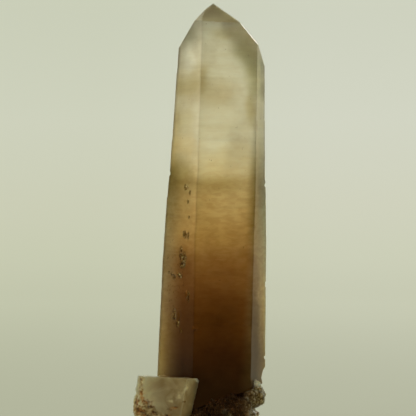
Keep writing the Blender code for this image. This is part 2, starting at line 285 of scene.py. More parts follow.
def nearLines(places, lines, reach):  # 1 on a line, falling to 0 at the reach
    nearest = np.full(len(places), reach)
    for first, last in lines:
        first, along = np.array(first), np.array(last - first)
        share = np.clip((places - first) @ along / (along @ along), 0, 1)
        nearest = np.minimum(nearest, np.linalg.norm(places - first - share[:, None] * along, axis=1))
    return 1 - nearest / reach


def strokeAt(places, points, width):  # 1 along a line drawn on the front, falling to 0 at its width
    corners = [np.array(point) * mm for point in points]
    return nearLines(places[:, [0, 2]], zip(corners, corners[1:]), width)


def meshArrays(piece):  # places and normals of all points
    places = np.zeros(len(piece.data.vertices) * 3)
    normals = places.copy()
    piece.data.vertices.foreach_get("co", places)
    piece.data.vertices.foreach_get("normal", normals)
    return places.reshape(-1, 3), normals.reshape(-1, 3)


def noiseAt(places, size, offset=0.0):  # smooth noise from -1 to 1 at each point
    return np.array([noise.noise(spot) for spot in places / size + offset])


def writeMesh(piece, places, **marks):  # puts the places back, with each mark as an attribute
    piece.data.vertices.foreach_set("co", places.ravel())
    for name, values in marks.items():
        piece.data.attributes.new(name, "FLOAT", "POINT").data.foreach_set("value", values)
    piece.data.update()
    piece.data.shade_smooth()
    piece.data.set_sharp_from_angle(angle=creaseAngle)


def evenMesh(piece, fineness, smoothing):  # even small faces that keep the crystal edges
    only(piece)
    longest = max(piece.dimensions)
    mostScale = 0.95  # what the modifier's scale stays under
    remesh = piece.modifiers.new("even mesh", "REMESH")
    remesh.mode = "SHARP"
    remesh.octree_depth = math.ceil(math.log2(longest / (mostScale * fineness)))
    remesh.scale = longest / (fineness * 2 ** remesh.octree_depth)
    remesh.use_remove_disconnected = False
    bpy.ops.object.modifier_apply(modifier=remesh.name)
    smooth = piece.modifiers.new("broken edges", "SMOOTH")
    smooth.factor = 0.5
    smooth.iterations = smoothing
    bpy.ops.object.modifier_apply(modifier=smooth.name)


def refineNear(piece, spots):  # halves the faces around each (place, radius), where a dent will go
    bpy.ops.object.mode_set(mode="EDIT")
    bpy.ops.mesh.select_mode(type="FACE")
    bpy.ops.mesh.select_all(action="DESELECT")
    bpy.ops.object.mode_set(mode="OBJECT")
    for face in piece.data.polygons:
        face.select = any((face.center - place).length < radius for place, radius in spots)
    bpy.ops.object.mode_set(mode="EDIT")
    bpy.ops.mesh.subdivide(number_cuts=1)
    bpy.ops.object.mode_set(mode="OBJECT")


def seenFromFront(piece, across, height):  # place and normal of the surface point met from the front
    start = Vector((across, -200 * mm, height))
    return piece.ray_cast(start, Vector((0, 1, 0)))[1:3]


def dent(places, stains, values, spot, width, length, depth, dirt):  # presses in one ragged hollow
    place, normal = spot
    along = (Vector((0, 0, 1)) - normal * normal.z).normalized()
    across = normal.cross(along)
    offsets = places - np.array(place)
    for index in np.flatnonzero(np.linalg.norm(offsets, axis=1) < values["dentReach"] * length):
        here = Vector(places[index])
        offset = here - place
        away = math.hypot(2 * offset.dot(across) / width, 2 * offset.dot(along) / length)
        away += sum(share * noise.noise(here / size) for size, share in values["dentRagged"])
        if away < 1 and abs(offset.dot(normal)) < width:
            places[index] = here - normal * depth * math.sqrt(1 - max(away, 0) ** 2)
        fade = values["dirtFade"][0] - values["dirtFade"][1] * away
        stains[index] = max(stains[index], dirt * min(1.0, max(0.0, fade)))


pointValues = {
    "fineness": 0.28 * mm,  # spacing of the visible mesh
    "smoothing": 1,
    "edgeLength": 0.4 * mm,  # an upright edge has at least this length, and this rise for its length
    "edgeRise": 0.95,
    "edgeReach": 0.9 * mm,
    "grooveSpacing": 1.3 * mm,  # growth lines across the upright faces
    "grooveDepth": 0.028 * mm,
    "grooveRun": 18 * mm,  # how far along a face one growth line holds
    "grooveSlope": 0.25,  # a face whose normal rises this much has none
    # across, height, width and length (mm) of each etched pit
    "pits": [(-4.46, 48.9, 0.7, 1.0), (-3.6, 47.8, 0.4, 0.8), (-3.97, 46.0, 0.4, 0.7),
             (-3.77, 43.0, 0.4, 0.6), (-4.66, 39.6, 0.8, 1.2), (-3.97, 39.4, 0.6, 1.5),
             (-5.36, 36.6, 0.9, 1.0), (-4.7, 34.4, 1.4, 2.6), (-5.4, 35.3, 0.9, 1.3),
             (-5.3, 33.6, 0.8, 1.2), (-7.8, 32.0, 0.5, 0.5), (-5.56, 31.5, 0.7, 0.8),
             (-6.75, 31.1, 0.8, 0.9), (-3.97, 27.3, 0.7, 2.2), (-6.75, 23.6, 1.1, 2.2),
             (-6.1, 21.9, 0.8, 1.3), (-5.4, 20.6, 0.6, 0.9)],
    "pitDepth": 0.45 * mm,
    "pitDirt": 1.0,
    "pitRefined": 0.8,  # the faces within this many lengths of a pit are halved
    # height (mm), direction (degrees from the front to the right) and size (mm) of each nick in the edges
    "nicks": [(49.6, 70, 0.6), (29.7, 70, 0.5), (15.0, 70, 0.8), (40.6, 10, 0.5), (64.0, 130, 0.8),
              (33.0, 190, 1.1), (52.0, 250, 0.9), (21.0, 310, 0.7)],
    "nickDepth": 0.35 * mm,
    "nickDirt": 0.15,
    "dentReach": 1.5,  # nothing farther from the middle of a pit or nick than this many lengths is touched
    "dentRagged": [(0.35 * mm, 0.5), (0.15 * mm, 0.25)],  # noises that fray the rim: size and share
    "dirtFade": (1.6, 1.1),  # dirt: the first, less the second for each half width from the middle
    # painted shade: the small front face at the very tip is darker: its foot, and how far it faces forward
    # and up
    "tipFrom": 79.5 * mm,
    "tipForward": 0.5,
    "tipUpward": 0.5,
}


def makePoint(values):
    piece = copyOfNode("smoky_point", "smokyPoint")
    edges = crystalEdges(piece, values["edgeLength"], values["edgeRise"])
    evenMesh(piece, values["fineness"], values["smoothing"])
    pits = [(seenFromFront(piece, across * mm, height * mm), width * mm, length * mm)
            for across, height, width, length in values["pits"]]
    refineNear(piece, [(spot[0], values["pitRefined"] * length) for spot, width, length in pits])
    places, normals = meshArrays(piece)
    lines = noiseAt(places, np.array([values["grooveRun"], values["grooveRun"], values["grooveSpacing"]]))
    upright = np.clip(1 - abs(normals[:, 2]) / values["grooveSlope"], 0, 1)
    edge = nearLines(places, edges, values["edgeReach"])
    places -= normals * (values["grooveDepth"] * abs(lines) * upright)[:, None]
    tip = places[:, 2] > values["tipFrom"]
    tip &= (normals[:, 1] < -values["tipForward"]) & (normals[:, 2] > values["tipUpward"])
    stains = np.zeros(len(places))
    for spot, width, length in pits:
        dent(places, stains, values, spot, width, length, values["pitDepth"], values["pitDirt"])
    for height, direction, size in values["nicks"]:
        outwards = Vector((math.sin(math.radians(direction)), -math.cos(math.radians(direction)), 0))
        level = places[abs(places[:, 2] - height * mm) < values["fineness"]]
        corner = Vector(level[np.argmax(level @ np.array(outwards))])
        dent(places, stains, values, (corner, outwards), size * mm, size * mm,
             values["nickDepth"], values["nickDirt"])
    writeMesh(piece, places, stain=stains, edge=edge, tip=tip.astype(float))
    return piece


smokyValues = {
    "crystalHeight": 85.6 * mm,
    # colour of the smoke by height, foot to tip
    "smoke": [(0.0, "#100401"), (0.11, "#2c1003"), (0.18, "#4e2609"), (0.25, "#6e4010"), (0.32, "#8a5824"),
              (0.39, "#ae7e44"), (0.46, "#dcb878"), (0.53, "#eed29a"), (0.60, "#ffedc4"), (0.67, "#fff8e8"),
              (1.0, "#ece8dc")],
    # colours of the hazy skin along the left and right sides, foot to tip: partly the crystal's own haze,
    # partly painted light, paler where light crosses less of the crystal, each side toned as it is lit
    "leftHazeAndPaintedLight": [(0.0, "#d8bc7c"), (0.19, "#dcbe7c"), (0.32, "#ccb48a"), (0.46, "#c0b28a"), (0.60, "#b8a872"),
                 (0.66, "#f0dea6"), (0.78, "#f8f0d8"), (1.0, "#f8f2e2")],
    "rightHazeAndPaintedLight": [(0.0, "#644e24"), (0.19, "#987e4a"), (0.32, "#dcc68e"), (0.39, "#c6b890"),
                  (0.50, "#a8ae90"), (0.60, "#7c8068"), (0.66, "#ccccb8"), (0.73, "#f0f0e2"),
                  (0.82, "#e0e0cc"), (1.0, "#eeecdc")],
    "skinTurn": (1 * mm, 6 * mm),  # the left skin gives way to the right one between these places across
    "middle": (0.0 * mm, 3.1 * mm),  # middle and half width of the crystal, at its foot and its tip
    "halfWidth": (11.1 * mm, 8.5 * mm),
    "skinFrom": (0.45, 0.8),  # the skin begins at this share of the half width, at the foot and the tip
    "skinTo": 0.98,
    # settings of each noise, with its scale from its size
    "noises": {"bands": {"Scale": 1 / (3.5 * mm), "Detail": 4.0, "Roughness": 0.6},
               "clouds": {"Scale": 1 / (9 * mm), "Detail": 5.0, "Roughness": 0.55},
               "lines": {"Scale": 1 / (0.7 * mm), "Detail": 3.0, "Roughness": 0.6},
               "grains": {"Scale": 1 / (0.55 * mm), "Detail": 1.0},
               "flecks": {"Scale": 1 / (0.8 * mm), "Detail": 3.0, "Distortion": 0.4},
               "wander": {"Scale": 1 / (3.5 * mm), "Detail": 4.0, "Roughness": 0.6}},
    "level": {"bands": 0.12, "lines": 0.12, "flecks": 0.4},  # these lie level: their scale sideways
    "driftClouds": (0.3, 0.7),  # between these values of the clouds the zones drift down and up
    "drift": (-0.035, 0.035),  # by this share of the height
    # share and colours of the darker bands and clouds
    "tones": [("bands", 0.4, [(0.32, "#d4c8a8"), (0.48, "#ffffff")]),
              ("clouds", 0.4, [(0.32, "#a89878"), (0.46, "#ffffff")])],
    "lineShare": 0.5,  # of the growth lines, and their tones between two values of their noise
    "lineRange": (0.35, 0.6),
    "lineTone": (0.86, 1.0),
    "fleckTone": [(0.4, "#ccb084"), (0.6, "#ffffff")],
    # how much the wavy flecks show, foot to tip
    "fleckShare": [(0.0, "#707070"), (0.12, "#707070"), (0.25, "#a0a0a0"), (0.35, "#b4b4b4"),
                   (0.55, "#b4b4b4"), (0.65, "#606060")],
    "speck": "#5a3416",  # brown specks, which begin and are full at these values of the grains
    "speckRange": (0.73, 0.83),
    "speckShare": 0.6,
    "etched": (-6.4, 30.0, 2.6, 13.0),  # finely etched streak: across, height, half width, half height (mm)
    "etchedFade": (1.2, 0.4),  # it begins and is full at these shares of its half sizes
    "etchedGrains": 0.13,  # added to the grains there
    "paintedEdgeShade": "#80603a",  # painted shade: the brown line along each edge
    "edgeRange": (0.55, 0.9),  # it begins and is full at these values of the edge mark
    "edgeHeights": (0.4, 0.75),  # how much it shows at these shares of the height
    "edgeShade": (0.35, 0.12),
    "paintedRimShade": "#8a7656",  # painted shade along the outline, which begins and is full at these shares of the half width
    "rimRange": (0.8, 0.9),
    # painted shade on the small front face at the tip
    "tipShade": "#d4caae",
    # cloudy patches, partly the crystal's veils and partly painted shade (the dim stripe down the right of
    # the front and the darker top of the right face): across, height, half width, half height (mm), turn
    # (degrees) and the tint that they add
    "patches": [(-4.0, 69.0, 4.4, 3.4, 0, "#d8d0b2"), (1.6, 67.6, 5.4, 3.6, 0, "#f4eee2"),
                (-2.2, 70.8, 2.0, 4.2, 20, "#e8e0cc"), (7.8, 75.0, 5.6, 2.8, 55, "#ccccb6"),
                (9.4, 70.0, 2.4, 5.0, 0, "#dedcc6"), (-4.2, 79.2, 3.2, 3.6, -30, "#acac9c"),
                (-5.4, 74.8, 1.8, 4.0, 0, "#d2d2ce"), (10.9, 73.4, 1.0, 3.0, 0, "#c4c8c4"),
                (-5.6, 51.4, 3.4, 4.6, 0, "#d4caa0"), (2.0, 49.4, 7.5, 2.4, 0, "#e2dcc8"),
                (-5.0, 49.0, 3.2, 11.0, 3, "#c4c0ac"), (9.5, 48.0, 1.9, 15.0, 2, "#c6bea4"),
                (9.2, 19.0, 1.3, 17.0, 0, "#b0a690"), (8.4, 64.4, 1.6, 4.0, 0, "#e0d8c0"),
                (-4.4, 62.4, 2.8, 4.0, 0, "#dcd4ba"), (10.9, 68.4, 1.2, 2.6, 0, "#c0c0b8"),
                (-4.8, 34.0, 2.0, 5.0, 0, "#c4b298"), (3.2, 79.4, 4.0, 1.6, 0, "#ece8d8"),
                (-4.4, 57.4, 2.6, 3.0, 0, "#fbeccb")],
    "patchFade": (1.3, 0.1),  # each begins and is full at these shares of its half sizes
    "patchWander": 2.2 * mm,  # how far their outlines wander
    # pit colours: dark iron stain in the hollow, and at the pale end a painted glint
    "pitStainAndGlint": [(0.34, "#2a1c0e"), (0.46, "#54391c"), (0.58, "#8e6e3a"), (0.7, "#c4aa74"),
                 (0.78, "#f4e6bc")],
    "pitShade": (0.36, -0.24),  # added to the grains, the first by the stain: a pit is darkest round its rim and takes the painted glint in its middle
    "clear": 0.95,  # transmission in the middle, in the skin, down where the druse begins and in the pits
    "hazy": 0.5,
    "footClear": 0.7,
    "foot": (13 * mm, 7 * mm),
    "pitClear": 0.1,
    "glossClouds": (0.35, 0.7),  # roughness of the growth faces at these values of the clouds
    "gloss": (0.29, 0.47),
    "frosted": 1.0,  # roughness of the back, which begins and is full at these places from front to back
    "back": (-3 * mm, 3 * mm),
    "reliefStrength": 0.25,  # of the growth lines
    "reliefDepth": 0.02 * mm,
    "sheen": "#e0a464",
    "absorbs": "#f0dcb0",
    "density": 12.0,
    "milkDepth": 12 * mm,  # how far light wanders in the milky share, and the share of that for each colour
    "milkShares": (1.0, 0.95, 0.8),
}


def smokyNoises(tree, place, values):
    noises = {}
    for name, settings in values["noises"].items():
        spread = place
        if name in values["level"]:
            sideways = values["level"][name]
            spread = addNode(tree, "ShaderNodeMapping", {}, {
                "Vector": place, "Scale": (sideways, sideways, 1.0)})
        noises[name] = addNode(tree, "ShaderNodeTexNoise", {}, {"Vector": spread, **settings})
    return noises


def zonedSmoke(tree, axes, height, sideHazeAndLight, clouds, values):  # smoke zoned by height, between the hazy skins that carry painted light
    drift = addNode(tree, "ShaderNodeMapRange", {}, {
        "Value": clouds, **ends("From", values["driftClouds"]), **ends("To", values["drift"])})
    zone = addNode(tree, "ShaderNodeMath", add, {0: height, 1: drift})
    smoke, leftHazeAndPaintedLight, rightHazeAndPaintedLight = [addNode(tree, "ShaderNodeValToRGB", {"stops": values[name]}, {"Fac": zone})
                                  for name in ("smoke", "leftHazeAndPaintedLight", "rightHazeAndPaintedLight")]
    rightwards = addNode(tree, "ShaderNodeMapRange", {}, {
        "Value": axes.outputs["X"], **ends("From", values["skinTurn"])})
    skin = addNode(tree, "ShaderNodeMix", mixColours, {"Factor": rightwards, "A": leftHazeAndPaintedLight, "B": rightHazeAndPaintedLight})
    return addNode(tree, "ShaderNodeMix", mixColours, {"Factor": sideHazeAndLight, "A": smoke, "B": skin})


def spotAt(tree, place, spot, turn=0):  # distance from a spot's middle, 1 at its half width and half height
    across, height, halfWidth, halfHeight = [size * mm for size in spot]
    axes = addNode(tree, "ShaderNodeMapping", {"vector_type": "TEXTURE"}, {
        "Vector": place, "Location": (across, 0, height), "Rotation": (0, math.radians(turn), 0),
        "Scale": (halfWidth, 1, halfHeight)})
    return addNode(tree, "ShaderNodeVectorMath", {"operation": "LENGTH"}, {0: axes})


def markedSmoke(tree, colour, place, height, noises, values):  # bands, clouds, lines, flecks and specks
    for name, share, stops in values["tones"]:
        tone = addNode(tree, "ShaderNodeValToRGB", {"stops": stops}, {"Fac": noises[name]})
        colour = addNode(tree, "ShaderNodeMix", tintColours, {"Factor": share, "A": colour, "B": tone})
    lineTone = addNode(tree, "ShaderNodeMapRange", {}, {
        "Value": noises["lines"], **ends("From", values["lineRange"]), **ends("To", values["lineTone"])})
    lined = addNode(tree, "ShaderNodeMix", tintColours, {
        "Factor": values["lineShare"], "A": colour, "B": lineTone})
    fleckTone = addNode(tree, "ShaderNodeValToRGB", {"stops": values["fleckTone"]}, {"Fac": noises["flecks"]})
    fleckShare = addNode(tree, "ShaderNodeValToRGB", {"stops": values["fleckShare"]}, {"Fac": height})
    flecked = addNode(tree, "ShaderNodeMix", tintColours, {"Factor": fleckShare, "A": lined, "B": fleckTone})
    etched = addNode(tree, "ShaderNodeMapRange", eased, {
        "Value": spotAt(tree, place, values["etched"]), **ends("From", values["etchedFade"]),
        "To Max": values["etchedGrains"]})
    coarser = addNode(tree, "ShaderNodeMath", add, {0: noises["grains"], 1: etched})
    speck = addNode(tree, "ShaderNodeMapRange", {}, {
        "Value": coarser, **ends("From", values["speckRange"]), "To Max": values["speckShare"]})
    return addNode(tree, "ShaderNodeMix", mixColours, {
        "Factor": speck, "A": flecked, "B": linear(values["speck"])})


def edgeShares(tree, height, share, values):  # how much the painted shade lines show, in front and at the outline
    edge = addNode(tree, "ShaderNodeAttribute", {"attribute_name": "edge"}).outputs["Fac"]
    thin = addNode(tree, "ShaderNodeMapRange", {}, {"Value": edge, **ends("From", values["edgeRange"])})
    shade = addNode(tree, "ShaderNodeMapRange", {}, {
        "Value": height, **ends("From", values["edgeHeights"]), **ends("To", values["edgeShade"])})
    onFront = addNode(tree, "ShaderNodeMath", multiply, {0: thin, 1: shade})
    outside = addNode(tree, "ShaderNodeMapRange", {}, {"Value": share, **ends("From", values["rimRange"])})
    alongRim = addNode(tree, "ShaderNodeMath", multiply, {0: edge, 1: outside})
    return onFront, alongRim


def veilAndShadePatches(tree, colour, place, noises, values):  # soft patches with wandering outlines
    reach = values["patchWander"]
    wandered = addNode(tree, "ShaderNodeVectorMath", {"operation": "MULTIPLY_ADD"}, {
        0: noises["wander"].outputs["Color"], 1: [reach] * 3, 2: place})
    centred = addNode(tree, "ShaderNodeVectorMath", {"operation": "SUBTRACT"}, {
        0: wandered, 1: [0.5 * reach] * 3})
    for *spot, turn, tint in values["patches"]:
        inside = addNode(tree, "ShaderNodeMapRange", {"interpolation_type": "SMOOTHERSTEP"}, {
            "Value": spotAt(tree, centred, spot, turn), **ends("From", values["patchFade"])})
        colour = addNode(tree, "ShaderNodeMix", tintColours, {
            "Factor": inside, "A": colour, "B": linear(tint)})
    return colour


def smokyQuartz(values):  # smoky quartz: smoke zoned by height, hazy skins with painted light, painted shade along the edges, at the tip and in some patches, growth lines
    material = newMaterial("smoky quartz")
    tree = material.node_tree
    place = addNode(tree, "ShaderNodeTexCoord").outputs["Object"]
    axes = addNode(tree, "ShaderNodeSeparateXYZ", {}, {"Vector": place})
    noises = smokyNoises(tree, place, values)
    tip, stain = [addNode(tree, "ShaderNodeAttribute", {"attribute_name": name}).outputs["Fac"]
                  for name in ("tip", "stain")]
    height = addNode(tree, "ShaderNodeMapRange", {}, {
        "Value": axes.outputs["Z"], "From Max": values["crystalHeight"]})
    middle, halfWidth, skinFrom = [addNode(tree, "ShaderNodeMapRange", {}, {
        "Value": height, **ends("To", values[name])}) for name in ("middle", "halfWidth", "skinFrom")]
    fromMiddle = addNode(tree, "ShaderNodeMath", {"operation": "SUBTRACT"}, {0: axes.outputs["X"], 1: middle})
    sideways = addNode(tree, "ShaderNodeMath", {"operation": "ABSOLUTE"}, {0: fromMiddle})
    share = addNode(tree, "ShaderNodeMath", {"operation": "DIVIDE"}, {0: sideways, 1: halfWidth})
    # the sides' share: the crystal's haze, and painted light where light crosses less of the crystal
    sideHazeAndLight = addNode(tree, "ShaderNodeMapRange", eased, {
        "Value": share, "From Min": skinFrom, "From Max": values["skinTo"]})
    colour = zonedSmoke(tree, axes, height, sideHazeAndLight, noises["clouds"], values)
    colour = markedSmoke(tree, colour, place, height, noises, values)
    onFront, alongRim = edgeShares(tree, height, share, values)
    # painted shade: brown lines along the edges and the outline, and the darker small face at the tip
    for factor, tint in ((onFront, "paintedEdgeShade"), (alongRim, "paintedRimShade"), (tip, "tipShade")):
        colour = addNode(tree, "ShaderNodeMix", tintColours, {
            "Factor": factor, "A": colour, "B": linear(values[tint])})
    colour = veilAndShadePatches(tree, colour, place, noises, values)
    depth = addNode(tree, "ShaderNodeMath", {"operation": "MULTIPLY_ADD"}, {
        0: stain, 1: values["pitShade"][0], 2: values["pitShade"][1]})
    glints = addNode(tree, "ShaderNodeMath", add, {0: noises["grains"], 1: depth})
    pits = addNode(tree, "ShaderNodeValToRGB", {"stops": values["pitStainAndGlint"]}, {"Fac": glints})
    stained = addNode(tree, "ShaderNodeMix", mixColours, {"Factor": stain, "A": colour, "B": pits})
    frost = addNode(tree, "ShaderNodeMapRange", eased, {
        "Value": axes.outputs["Y"], **ends("From", values["back"])})
    worn = addNode(tree, "ShaderNodeMath", larger, {0: frost, 1: stain})
    veil = addNode(tree, "ShaderNodeMapRange", {}, {
        "Value": noises["clouds"], **ends("From", values["glossClouds"]), **ends("To", values["gloss"])})
    roughness = addNode(tree, "ShaderNodeMix", {}, {"Factor": worn, "A": veil, "B": values["frosted"]})
    skinClear = addNode(tree, "ShaderNodeMapRange", {}, {
        "Value": sideHazeAndLight, "To Min": values["clear"], "To Max": values["hazy"]})
    footward = addNode(tree, "ShaderNodeMapRange", eased, {
        "Value": axes.outputs["Z"], **ends("From", values["foot"])})
    footClear = addNode(tree, "ShaderNodeMix", {}, {
        "Factor": footward, "A": skinClear, "B": values["footClear"]})
    clear = addNode(tree, "ShaderNodeMix", {}, {"Factor": stain, "A": footClear, "B": values["pitClear"]})
    relief = addNode(tree, "ShaderNodeBump", {}, {
        "Strength": values["reliefStrength"], "Distance": values["reliefDepth"], "Height": noises["lines"]})
    surface = addNode(tree, "ShaderNodeBsdfPrincipled", {}, {
        "Base Color": stained, "Roughness": roughness, "IOR": quartzIor, "Normal": relief,
        "Specular Tint": linear(values["sheen"]), "Transmission Weight": clear, "Subsurface Weight": 1.0,
        "Subsurface Radius": values["milkShares"], "Subsurface Scale": values["milkDepth"]})
    absorption = addNode(tree, "ShaderNodeVolumeAbsorption", {}, {
        "Color": linear(values["absorbs"]), "Density": values["density"]})
    addNode(tree, "ShaderNodeOutputMaterial", {}, {"Surface": surface, "Volume": absorption})
    return material


point = makePoint(pointValues)
point.data.materials.append(smokyQuartz(smokyValues))
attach(point, "root")
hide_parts("smoky_point")
print("smoky point:", len(point.data.polygons), "faces")

sideValues = {
    "fineness": 0.17 * mm,
    "smoothing": 3,
    "edgeLength": 1.5 * mm,
    "edgeReach": 0.3 * mm,
    "lumpSize": 1.0 * mm,  # of the broken parts, with finer lumps on them
    "fineLumpSize": 0.4 * mm,
    "lumpDepth": 0.24 * mm,
    "lumps": (0.55, 0.8, 0.9),  # the depth as a level share, and shares of the lumps and the finer lumps
    "brokenLine": ((-14.1, 8.5), (-9.0, 4.0)),  # across and height: below this the face is broken and rusty
    "brokenFade": 0.9 * mm,
    "brokenFray": 0.6,  # how much the lumps fray that line
    "brokenColumn": ((-13.2, 11.4), (-13.3, 8.6)),  # a rough strip down the left edge
    "columnWidth": 0.9 * mm,
    "columnShare": 1.6,  # how strong it is in its middle
    "crack": ((-4.2, 9.6), (-4.9, 8.7), (-6.0, 7.9), (-7.2, 7.2)),  # a healed crack seen through the front
    "crackWidth": 1.5 * mm,
    "crackShares": (0.35, 0.5, 0.5),  # it comes and goes: a level share, then of the finer lumps and lumps
    "chamfer": ((-2.4, 11.4), (-1.6, 10.3)),  # the pale edge of the chipped corner
    "chamferWidth": 0.45 * mm,
    "chamferShare": 0.8,
    # across, height, half width and half height of each rusty spot
    "rustSpots": [(-13.1, 8.5, 0.5, 0.7), (-12.9, 7.3, 0.4, 0.7), (-14.0, 6.6, 0.5, 0.9),
                  (-13.6, 5.2, 1.5, 1.1), (-14.5, 4.4, 0.6, 0.5), (-12.0, 6.7, 0.9, 0.5),
                  (-11.2, 5.8, 0.6, 0.4), (-10.6, 4.6, 0.5, 0.6), (-8.0, 4.0, 0.9, 0.6),
                  (-7.4, 5.4, 0.6, 0.25), (-6.4, 5.7, 0.6, 0.25), (-12.4, 4.2, 0.5, 0.4),
                  (-4.6, 6.9, 0.3, 0.2)],
    # a spot is this strong in its middle, less for each half width, and frayed by the finer lumps
    "rustShares": (1.5, 1.2, 1.1),
}


def brokenShare(places, coarse, values):  # 1 where the face is broken: below a line, and down the left edge
    (x1, z1), (x2, z2) = values["brokenLine"]
    upwards = np.array([z1 - z2, x2 - x1]) / math.hypot(x2 - x1, z2 - z1)  # off the line, up and right
    below = -(places[:, [0, 2]] - np.array([x1, z1]) * mm) @ upwards
    corner = np.clip(below / values["brokenFade"] + 0.5 + values["brokenFray"] * coarse, 0, 1)
    strip = strokeAt(places, values["brokenColumn"], values["columnWidth"])
    column = np.clip(values["columnShare"] * strip + coarse, 0, 1) * (strip > 0)
    return np.maximum(corner, column)


def rustShare(places, fine, values):  # 1 in the rusty spots, with ragged rims
    rust = np.zeros(len(places))
    middle, fading, fray = values["rustShares"]
    for spot in values["rustSpots"]:
        x, z, halfWidth, halfHeight = [size * mm for size in spot]
        away = np.hypot((places[:, 0] - x) / halfWidth, (places[:, 2] - z) / halfHeight)
        rust = np.maximum(rust, np.clip(middle - fading * away + fray * fine, 0, 1))
    return rust


def makeSideCrystal(values):
    piece = copyOfNode("side_crystal", "sideCrystal")
    edges = crystalEdges(piece, values["edgeLength"])
    evenMesh(piece, values["fineness"], values["smoothing"])
    places, normals = meshArrays(piece)
    edge = nearLines(places, edges, values["edgeReach"])
    coarse = noiseAt(places, values["lumpSize"])
    fine = noiseAt(places, values["fineLumpSize"], 7.0)
    broken = brokenShare(places, coarse, values)
    rust = rustShare(places, fine, values)
    crack = strokeAt(places, values["crack"], values["crackWidth"])
    level, fineShare, coarseShare = values["crackShares"]
    crack *= np.clip(level + fineShare * fine + coarseShare * coarse, 0, 1)
    chamfer = strokeAt(places, values["chamfer"], values["chamferWidth"])
    crack = np.maximum(crack, values["chamferShare"] * chamfer)
    level, coarseShare, fineShare = values["lumps"]
    lumps = level + coarseShare * coarse + fineShare * fine
    places -= normals * (values["lumpDepth"] * broken * lumps)[:, None]
    writeMesh(piece, places, rust=rust, broken=broken, crack=crack, edge=edge)
    return piece


milkyValues = {
    "milk": "#b89c68",
    "pale": "#fff0c4",
    "paintedLightFrom": (-9.0 * mm, -13.0 * mm),  # painted light: it turns pale towards the left
    # settings of the noises, with their scales from their sizes
    "wisps": {"Scale": 1 / (3.5 * mm), "Detail": 5.0, "Distortion": 1.2},
    "crumbs": {"Scale": 1 / (0.85 * mm), "Detail": 3.0},
    "wispRange": (0.45, 0.75),  # pale wisps begin and are full at these values, and this pale at most
    "wispShare": 0.5,
    "edgeShare": 0.2,  # how pale the edges are
    "crumb": [(0.3, "#7a5c30"), (0.42, "#b09058"), (0.55, "#dcc690"), (0.68, "#f4e8c4")],
    "rust": [(0.34, "#3a2208"), (0.46, "#805012"), (0.58, "#b47c36"), (0.7, "#d8b070")],
    "gloss": 0.3,  # roughness of the grown faces and of the broken ones
    "brokenGloss": 0.6,
    "clear": 0.45,  # transmission of the clean faces, and where rust or the crack covers them
    "coveredClear": 0.05,
    "crumbCover": 0.6,  # how much the broken faces count as covered
    "reliefStrength": 0.3,  # of the crumbs
    "reliefDepth": 0.05 * mm,
    "absorbs": "#dcc48c",
    "density": 36.0,
    "milkDepth": 5 * mm,
    "milkShares": (1.0, 0.95, 0.8),
}


def milkyQuartz(values):  # milky quartz: glassy faces over a cloudy inside, iron oxide where it is broken, and painted light that pales its left side
    material = newMaterial("milky quartz")
    tree = material.node_tree
    place = addNode(tree, "ShaderNodeTexCoord").outputs["Object"]
    axes = addNode(tree, "ShaderNodeSeparateXYZ", {}, {"Vector": place})
    wisps, crumbs = [addNode(tree, "ShaderNodeTexNoise", {}, {"Vector": place, **values[name]})
                     for name in ("wisps", "crumbs")]
    rust, broken, crack, edge = [addNode(tree, "ShaderNodeAttribute", {"attribute_name": name}).outputs["Fac"]
                                 for name in ("rust", "broken", "crack", "edge")]
    # painted light: paler towards the left
    leftwards = addNode(tree, "ShaderNodeMapRange", {}, {
        "Value": axes.outputs["X"], **ends("From", values["paintedLightFrom"])})
    wispy = addNode(tree, "ShaderNodeMapRange", {}, {
        "Value": wisps, **ends("From", values["wispRange"]), "To Max": values["wispShare"]})
    paintedLightAndWisps = addNode(tree, "ShaderNodeMath", add, {0: leftwards, 1: wispy})
    faintEdge = addNode(tree, "ShaderNodeMath", multiply, {0: edge, 1: values["edgeShare"]})
    rims = addNode(tree, "ShaderNodeMath", larger, {0: crack, 1: faintEdge})
    paleEnough = addNode(tree, "ShaderNodeMath", larger, {0: paintedLightAndWisps, 1: rims})
    milk = addNode(tree, "ShaderNodeMix", mixColours, {
        "Factor": paleEnough, "A": linear(values["milk"]), "B": linear(values["pale"])})
    crumb, oxide = [addNode(tree, "ShaderNodeValToRGB", {"stops": values[name]}, {"Fac": crumbs})
                    for name in ("crumb", "rust")]
    crumbled = addNode(tree, "ShaderNodeMix", mixColours, {"Factor": broken, "A": milk, "B": crumb})
    stained = addNode(tree, "ShaderNodeMix", mixColours, {"Factor": rust, "A": crumbled, "B": oxide})
    roughness = addNode(tree, "ShaderNodeMapRange", {}, {
        "Value": broken, "To Min": values["gloss"], "To Max": values["brokenGloss"]})
    crusted = addNode(tree, "ShaderNodeMath", multiply, {0: broken, 1: values["crumbCover"]})
    stainedOver = addNode(tree, "ShaderNodeMath", larger, {0: rust, 1: crusted})
    covered = addNode(tree, "ShaderNodeMath", larger, {0: stainedOver, 1: crack})
    clear = addNode(tree, "ShaderNodeMapRange", {}, {
        "Value": covered, "To Min": values["clear"], "To Max": values["coveredClear"]})
    relief = addNode(tree, "ShaderNodeBump", {}, {
        "Strength": values["reliefStrength"], "Distance": values["reliefDepth"], "Height": crumbs})
    surface = addNode(tree, "ShaderNodeBsdfPrincipled", {}, {
        "Base Color": stained, "Roughness": roughness, "IOR": quartzIor, "Normal": relief,
        "Transmission Weight": clear, "Subsurface Weight": 1.0,
        "Subsurface Radius": values["milkShares"], "Subsurface Scale": values["milkDepth"]})
    absorption = addNode(tree, "ShaderNodeVolumeAbsorption", {}, {
        "Color": linear(values["absorbs"]), "Density": values["density"]})
    addNode(tree, "ShaderNodeOutputMaterial", {}, {"Surface": surface, "Volume": absorption})
    return material


sideCrystal = makeSideCrystal(sideValues)
sideCrystal.data.materials.append(milkyQuartz(milkyValues))
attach(sideCrystal, "root")
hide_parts("side_crystal")
print("side crystal:", len(sideCrystal.data.polygons), "faces")


